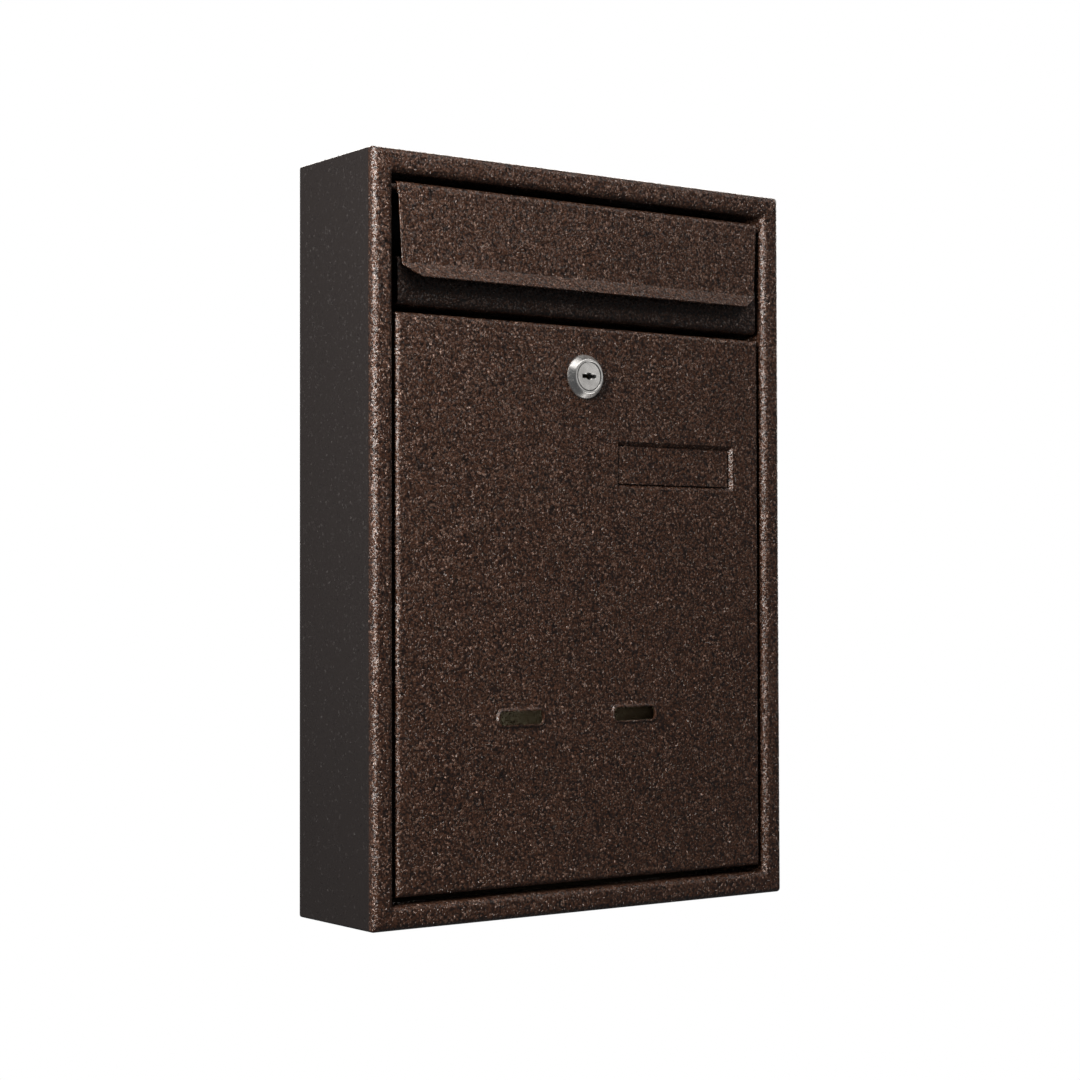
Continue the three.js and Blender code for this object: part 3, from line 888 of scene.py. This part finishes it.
def rod_cap(node, axis):
    """A pressed cap: a domed end, a short barrel and a slit collar that grips the rod."""
    (x0, x1), (y0, y1), _ = limits(node)
    side = 1 if x0 > 0 else -1
    start, end = (x0, x1) if side > 0 else (x1, x0)
    length = abs(end - start)
    radius = (y1 - y0) / 2
    bore = ROD_RADIUS + GAP
    dome = 1.1
    outside = arc((length - dome, radius - dome), dome, 90, 0, 6)
    inside = [(length - CAP_WALL, 0.05), (length - CAP_WALL, bore - 0.3)]
    inside += [(length - CAP_WALL - 0.3, bore), (0.25, bore), (0, bore + 0.25)]
    rim = [(0, radius - 0.2), (0.06, radius - 0.06), (0.2, radius)]
    closed = [(length, 0.05)]
    profile = [(start + side * d, r) for d, r in inside + rim + outside + closed]
    cap = turned_on_rod(node + "_shell", profile, axis)
    slits = []
    for k in range(3):
        a = math.radians(60 * k)
        half, reach = 0.2, radius + 1
        corners = [(-half, -reach), (half, -reach), (half, reach), (-half, reach)]
        sin, cos = math.sin(a), math.cos(a)
        outline = [
            (axis[0] + u * cos - v * sin, axis[1] + u * sin + v * cos) for u, v in corners
        ]
        slits.append(loft("tool", [along_x(outline, start + side * d) for d in (-1, 1.1)]))
    return cut(cap, *slits)


for node, axis in (("flap_hinge_rod", FLAP_AXIS), ("door_hinge_rod", DOOR_AXIS)):
    stand_for(hinge_rod(node, axis), node, paint)
for kind, axis in (("flap", FLAP_AXIS), ("door", DOOR_AXIS)):
    for side in ("left", "right"):
        node = f"{kind}_rod_cap_{side}"
        stand_for(rod_cap(node, axis), node, cap_steel)

# ---- Lock: its own values are counted behind the door's face ----

LOCK_BODY = dict(flange=9.5, face=7.3, proud=3.8, end=14.8)
LOCK_THREAD = dict(depth=0.35, pitch=1.0)
PLUG = dict(head=6.15, body=5.5, head_end=0.8, end=14.6, tail=3.3, tail_end=16.9)
KEYWAY = dict(width=7, height=1.65, centre=1.45, end=9.9)
STOP_LUG = dict(reach=7, half=1.2, start=13.4)
LOCK_WASHER = dict(start=SHEET + GAP, radius=10.5, thickness=0.6)
LOCK_NUT = dict(start=SHEET + 2 * GAP + 0.6, across_flats=22, thickness=3.5)
CAM = dict(start=15.3, end=16.8, hub=8, tip=5, reach=26)
CAM_WASHER = dict(start=17.2, radius=5, thickness=0.8)
SCREW_THREAD = dict(depth=0.22, pitch=0.7)
SCREW = dict(start=11, shank=1.85, head=3.6, head_start=18.3, head_end=20.5)
SCREW_RECESS = dict(reach=2, half=0.5, depth=1.1)
WAFER = dict(count=4, first=2.7, pitch=2.1, half=0.45, width=4.6, height=2.2, slot_half=0.7)
WAFER_SPRING = dict(x0=-2.7, x1=0.9, z=3.3, radius=0.42, wire=0.16, turns=6)


def in_lock(outline, depth):
    """An outline in the lock's own frame, set at a depth behind the door's face."""
    return along_y(moved(outline, *LOCK_AXIS), DOOR_FACE + depth)


def lock_turned(name, profile, sides=ROUND, loop=False):
    """Turns a profile of (radius, depth) about the lock's axis."""
    return loft(name, [in_lock(circle(r, sides), y) for r, y in profile], loop)


def lock_block(x, y, z):
    """A block in the lock's own frame, to cut or join with."""
    outline = [(x[0], z[0]), (x[1], z[0]), (x[1], z[1]), (x[0], z[1])]
    return loft("tool", [in_lock(outline, depth) for depth in y])


def flat_ring(name, bore, radius, start, thickness, soft=0.12):
    end = start + thickness
    profile = [(bore + soft, start), (radius - soft, start), (radius, start + soft)]
    profile += [(radius, end - soft), (radius - soft, end), (bore + soft, end)]
    profile += [(bore, end - soft), (bore, start + soft)]
    return lock_turned(name, profile, loop=True)


def thread(radius, depth, pitch, start, end, sides, per_turn=8):
    """Rings of a screw thread that fades in and out at its ends."""
    rings = []
    count = round((end - start) / pitch * per_turn)
    for i in range(count + 1):
        y = start + (end - start) * i / count
        fade = min(1, (y - start) / pitch, (end - y) / pitch)
        ring = []
        for k in range(sides):
            phase = (y / pitch - k / sides) % 1
            groove = 1 - abs(2 * phase - 1)
            a = 2 * math.pi * k / sides
            r = radius - depth * fade * groove
            ring.append((r * math.cos(a), r * math.sin(a)))
        rings.append((ring, y))
    return rings


def lock_housing():
    flange, face, proud, end = LOCK_BODY.values()
    bore, head = PLUG["body"] + GAP, PLUG["head"] + GAP
    step = PLUG["head_end"] + GAP
    front = [(head + 0.15, -proud), (face - 0.1, -proud), (face + 0.15, 0.08 - proud)]
    front += [(face + 0.35, 0.3 - proud), (flange - 0.3, -1.35), (flange - 0.08, -1.15)]
    front += [(flange, -0.9), (flange, -0.35), (flange - 0.15, -0.2), (BARREL, -0.2)]
    rings = [in_lock(circle(r), y) for r, y in front]
    barrel = [(circle(BARREL), 0.0)]
    barrel += thread(BARREL, *LOCK_THREAD.values(), 1.9, end - 0.5, ROUND)
    barrel.append((circle(BARREL - 0.4), end))
    for outline, y in barrel:
        flats = [(max(-BARREL_FLAT, min(BARREL_FLAT, x)), z) for x, z in outline]
        rings.append(in_lock(flats, y))
    back = [(bore + 0.3, end), (bore, end - 0.3), (bore, step), (head, step)]
    back.append((head, 0.15 - proud))
    rings += [in_lock(circle(r), y) for r, y in back]
    housing = loft("lock_housing_body", rings, loop=True)
    stop = STOP_LUG["half"] + 0.4
    far = BARREL + 1
    quarter_cut = lock_block((-far, stop), (STOP_LUG["start"] - 0.5, end + 1), (-far, stop))
    return cut(housing, quarter_cut)


def lock_washer():
    start, radius, thickness = LOCK_WASHER.values()
    return flat_ring("lock_washer_ring", BARREL + GAP, radius, start, thickness)


def lock_nut():
    """A hexagon with its corners turned down on both faces, threaded inside."""
    start, across, thickness = LOCK_NUT.values()
    bore, end = BARREL + GAP, start + thickness
    face = across / 2

    def hexagon(limit):
        points = []
        for k in range(ROUND):
            a = 2 * math.pi * k / ROUND
            r = face / math.cos(a % (math.pi / 3) - math.pi / 6)
            r = min(r, limit)
            points.append((r * math.cos(a), r * math.sin(a)))
        return points

    corner = face / math.cos(math.pi / 6)
    rings = [(circle(bore + 0.5), start), (hexagon(face + 0.05), start)]
    rings += [(hexagon(face + 0.9), start + 0.4), (hexagon(corner), start + 0.85)]
    rings += [(hexagon(corner), end - 0.85), (hexagon(face + 0.9), end - 0.4)]
    rings += [(hexagon(face + 0.05), end), (circle(bore + 0.5), end)]
    inner = thread(bore + 0.35, *LOCK_THREAD.values(), start + 0.35, end - 0.35, ROUND)
    rings += reversed(inner)
    return loft("lock_nut_body", [in_lock(o, y) for o, y in rings], loop=True)


def wafer_depth(index):
    return WAFER["first"] + index * WAFER["pitch"]


def lock_plug():
    head, body, head_end, end, tail, tail_end = PLUG.values()
    face = 0.1 - LOCK_BODY["proud"]
    profile = [(0.05, face), (head - 0.3, face), (head - 0.1, face + 0.07), (head, face + 0.25)]
    profile += [(head, head_end - 0.1), (head - 0.1, head_end), (body, head_end)]
    profile += [(body, end - 0.2), (body - 0.2, end), (0.05, end)]
    plug = lock_turned("lock_plug_body", profile)
    tail_steps = [(tail, end - 1), (tail, tail_end - 0.2), (tail - 0.2, tail_end)]
    tail_block = loft("tool", [in_lock(rounded(r, r, 0.25), y) for r, y in tail_steps])
    half = STOP_LUG["half"]
    lug = lock_block((-STOP_LUG["reach"], -tail + 0.5), (STOP_LUG["start"], end), (-half, half))
    join(plug, tail_block, lug)
    flare = [(0.35, face - 1), (0.3, face - 0.01), (0.08, face + 0.2), (0, face + 0.4)]
    flare.append((0, KEYWAY["end"]))
    slot = [
        in_lock(rounded(KEYWAY["width"] / 2 + g, KEYWAY["height"] / 2 + g, 0.3 + g), y)
        for g, y in flare
    ]
    middle_hole = [in_lock(circle(KEYWAY["centre"] + g, SMALL_ROUND), y) for g, y in flare]
    screw_hole = [
        in_lock(circle(SCREW["shank"] + GAP, SMALL_ROUND), y)
        for y in (SCREW["start"] - GAP, tail_end + 1)
    ]
    tools = [loft("tool", rings) for rings in (slot, middle_hole, screw_hole)]
    high = WAFER["height"] + GAP
    for i in range(WAFER["count"]):
        depth = wafer_depth(i)
        span = (depth - WAFER["slot_half"], depth + WAFER["slot_half"])
        tools.append(lock_block((-2 * body, 2 * body), span, (-high, high)))
        tools.append(lock_block((WAFER_SPRING["x0"] - 0.3, 2.4), span, (high - 0.1, 4.3)))
    return cut(plug, *tools)


def lock_wafer(index):
    """A plate with a window for the key and a tab for its spring."""
    depth = wafer_depth(index)
    width, height, half = WAFER["width"], WAFER["height"], WAFER["half"]
    outline = [(-width, -height), (width, -height), (width, height), (2, height), (2, 3.9)]
    outline += [(1.2, 3.9), (1.2, height), (-width, height)]
    name = f"lock_wafer_plate_{index + 1}"
    wafer = loft(name, [in_lock(outline, depth + side * half) for side in (-1, 1)])
    window = width - 0.9
    cut(wafer, lock_block((-window, window), (depth - 1, depth + 1), (-1.2, 1.2)))
    return bevel(wafer, 0.1, 2)


def wafer_spring(index):
    x0, x1, z, radius, wire, turns = WAFER_SPRING.values()
    depth = wafer_depth(index)
    steps = turns * 20
    rings = []
    for k in range(steps + 1):
        t = k / steps
        a = 2 * math.pi * turns * t
        across = Vector((0, math.cos(a), math.sin(a)))
        advance = (x1 - x0) / (2 * math.pi * turns)
        onward = Vector((advance, -radius * math.sin(a), radius * math.cos(a)))
        upward = onward.normalized().cross(across)
        centre = Vector((x0 + (x1 - x0) * t, depth, z)) + radius * across
        thickness = wire * (0.6 if k in (0, steps) else 1)
        ring = []
        for j in range(10):
            b = 2 * math.pi * j / 10
            point = centre + thickness * (across * math.cos(b) + upward * math.sin(b))
            ring.append((point.x + LOCK_AXIS[0], point.y + DOOR_FACE, point.z + LOCK_AXIS[1]))
        rings.append(ring)
    return loft(f"lock_wafer_coil_{index + 1}", rings)


def lock_cam():
    """The cam points to the right when the lock is open."""
    start, end, hub, tip, reach = CAM.values()
    tangent = math.degrees(math.acos((hub - tip) / reach))

    def outline(grow):
        return arc((0, 0), hub + grow, tangent, 360 - tangent, 48) + arc(
            (reach, 0), tip + grow, -tangent, tangent, 32
        )

    soft = 0.15
    steps = [(-soft, start), (0, start + soft), (0, end - soft), (-soft, end)]
    cam = loft("lock_cam_plate", [in_lock(outline(grow), y) for grow, y in steps])
    half = PLUG["tail"] + GAP
    hole = [in_lock(rounded(half, half, 0.3), y) for y in (start - 1, end + 1)]
    return cut(cam, loft("tool", hole))


def lock_cam_washer():
    start, radius, thickness = CAM_WASHER.values()
    return flat_ring("lock_cam_washer_ring", SCREW["shank"] + GAP, radius, start, thickness)


def lock_cam_screw():
    start, shank, head, head_start, head_end = SCREW.values()
    rings = [in_lock(circle(shank - 0.5, SMALL_ROUND), start)]
    turns = thread(shank, *SCREW_THREAD.values(), start + 0.3, head_start - 0.3, SMALL_ROUND)
    rings += [in_lock(outline, y) for outline, y in turns]
    rise = head_end - head_start
    dome = [(shank, head_start), (head - 0.12, head_start), (head, head_start + 0.15)]
    dome.append((head, head_start + 0.35 * rise))
    for k in range(1, 9):
        a = math.radians(90 * k / 8)
        height = (0.35 + 0.65 * math.sin(a)) * rise
        dome.append((head - 1.6 + 1.6 * math.cos(a), head_start + height))
    dome.append((0.05, head_end))
    rings += [in_lock(circle(r, SMALL_ROUND), y) for r, y in dome]
    screw = loft("lock_cam_screw_body", rings)
    reach, half, depth = SCREW_RECESS.values()
    tools = []
    taper = [(0.45, head_end - depth), (0.95, head_end - 0.3), (1.0, head_end + 1)]
    for across in (True, False):
        rings = []
        for share, y in taper:
            x, z = (reach * share, half) if across else (half, reach * share)
            rings.append(in_lock(rounded(x, z, 0.1), y))
        tools.append(loft("tool", rings))
    return cut(screw, *tools)


lock_faces = bpy.data.collections.new("lock_faces")
for shape, node in ((lock_housing(), "lock_housing"), (lock_plug(), "lock_plug")):
    stand_for(shape, node, chrome)
    lock_faces.objects.link(shape)
stand_for(lock_washer(), "lock_washer", zinc)
stand_for(lock_nut(), "lock_nut", zinc)
stand_for(lock_cam(), "lock_cam", zinc)
stand_for(lock_cam_washer(), "lock_cam_washer", zinc)
stand_for(lock_cam_screw(), "lock_cam_screw", zinc)
for i in range(WAFER["count"]):
    stand_for(lock_wafer(i), f"lock_wafer_{i + 1}", brass)
    stand_for(wafer_spring(i), f"lock_wafer_spring_{i + 1}", spring_steel)

# ---- Camera ----

camera_data = bpy.data.cameras.new("camera")
camera_data.lens = 76.70
camera_data.sensor_width = 36.0
camera_data.clip_start = 0.05
camera = bpy.data.objects.new("camera", camera_data)
camera.location = (-0.60099, -0.85453, -0.02385)
camera.rotation_euler = Euler([math.radians(a) for a in (91.3917, 0.1335, -35.8459)])
bpy.context.scene.collection.objects.link(camera)
bpy.context.scene.camera = camera

# ---- Stage and light ----

LIGHT_COLOUR = (1.0, 0.955, 0.915)
CARD_DISTANCE = 0.6
CARD_SIZE = 0.5
GLOW = dict(shift=18, y=-38, size=(0.02, 0.01), power=0.05, colour=(0.95, 1.0, 0.66))


def emission(name, colour, strength):
    material = bpy.data.materials.new(name)
    material.use_nodes = True
    tree = material.node_tree
    tree.nodes.clear()
    glow = tree.nodes.new("ShaderNodeEmission")
    glow.inputs["Color"].default_value = colour
    glow.inputs["Strength"].default_value = strength
    output = tree.nodes.new("ShaderNodeOutputMaterial")
    tree.links.new(glow.outputs[0], output.inputs["Surface"])
    return material


def stage_floor():
    size, level = 30.0, -1.0
    ways = ((-1, -1), (1, -1), (1, 1), (-1, 1))
    corners = [(x * size, y * size, level) for x, y in ways]
    mesh = bpy.data.meshes.new("pale_floor")
    mesh.from_pydata(corners, [], [(0, 1, 2, 3)])
    floor = bpy.data.objects.new("pale_floor", mesh)
    bpy.context.scene.collection.objects.link(floor)
    mesh.materials.append(emission("pale_floor", (1, 1, 1, 1), 1.0))
    floor.visible_diffuse = False
    floor.visible_glossy = False
    floor.visible_shadow = False


def world():
    scene_world = bpy.data.worlds.new("studio")
    scene_world.use_nodes = True
    tree = scene_world.node_tree
    tree.nodes.clear()
    path = tree.nodes.new("ShaderNodeLightPath")
    seen = tree.nodes.new("ShaderNodeBackground")
    seen.inputs["Color"].default_value = (1, 1, 1, 1)
    seen.inputs["Strength"].default_value = 1.0
    fill = tree.nodes.new("ShaderNodeBackground")
    fill.inputs["Color"].default_value = (0.95, 0.97, 1.0, 1)
    fill.inputs["Strength"].default_value = 0.08
    mix = tree.nodes.new("ShaderNodeMixShader")
    output = tree.nodes.new("ShaderNodeOutputWorld")
    tree.links.new(path.outputs["Is Camera Ray"], mix.inputs[0])
    tree.links.new(fill.outputs[0], mix.inputs[1])
    tree.links.new(seen.outputs[0], mix.inputs[2])
    tree.links.new(mix.outputs[0], output.inputs["Surface"])
    bpy.context.scene.world = scene_world


def softbox(name, azimuth, elevation, distance, width, height, power, target=(0, -0.03, 0)):
    """An area light aimed at the part. Azimuth 0 is in front of it, and negative is to the left."""
    data = bpy.data.lights.new(name, "AREA")
    data.shape = "RECTANGLE"
    data.size, data.size_y = width, height
    data.energy = power
    data.color = LIGHT_COLOUR
    light = bpy.data.objects.new(name, data)
    a, e = math.radians(azimuth), math.radians(elevation)
    way = Vector((math.sin(a) * math.cos(e), -math.cos(a) * math.cos(e), math.sin(e)))
    light.location = Vector(target) + way * distance
    light.rotation_euler = way.to_track_quat("Z", "Y").to_euler()
    bpy.context.scene.collection.objects.link(light)
    return light


stage_floor()
world()
key = softbox("key", -60, 27, 0.95, 0.2, 0.72, 22.5)
softbox("top", 24, 50, 1.5, 1.2, 0.3, 6)
softbox("side_fill", -125, 12, 1.8, 0.8, 1.2, 2.0)
softbox("right_side", 118, 14, 1.8, 0.8, 1.2, 9)
softbox("back", 152, 18, 1.8, 1.2, 1.2, 24)

# the key would light the rail as if the lip above it gave no shade, and burn out the lock
shaded = bpy.data.collections.new("shaded_from_key")
for shape in [*lock_faces.objects, rail]:
    shaded.objects.link(shape)
for entry in shaded.collection_objects:
    entry.light_linking.link_state = "EXCLUDE"
key.light_linking.receiver_collection = shaded
lock_face = Vector((LOCK_AXIS[0], DOOR_FACE, LOCK_AXIS[1])) * MM
for name, azimuth, elevation, power in (
    ("lock_card", 40, 10, 0.43),
    ("lock_upper", -52, 66, 1.9),
    ("lock_lower", 70, -50, 2.0),
):
    card = softbox(name, azimuth, elevation, CARD_DISTANCE, CARD_SIZE, CARD_SIZE, power, lock_face)
    card.light_linking.receiver_collection = lock_faces

for x in SLOT_CENTRES:
    place = Vector((x + GLOW["shift"], GLOW["y"], SLOT["z"])) * MM
    glow = softbox("inside_glow", 0, 0, 0.0, *GLOW["size"], GLOW["power"], place)
    glow.rotation_euler = (math.radians(90), 0, 0)
    glow.data.color = GLOW["colour"]
    glow.visible_camera = glow.visible_glossy = False

bpy.context.scene.view_settings.view_transform = "Standard"
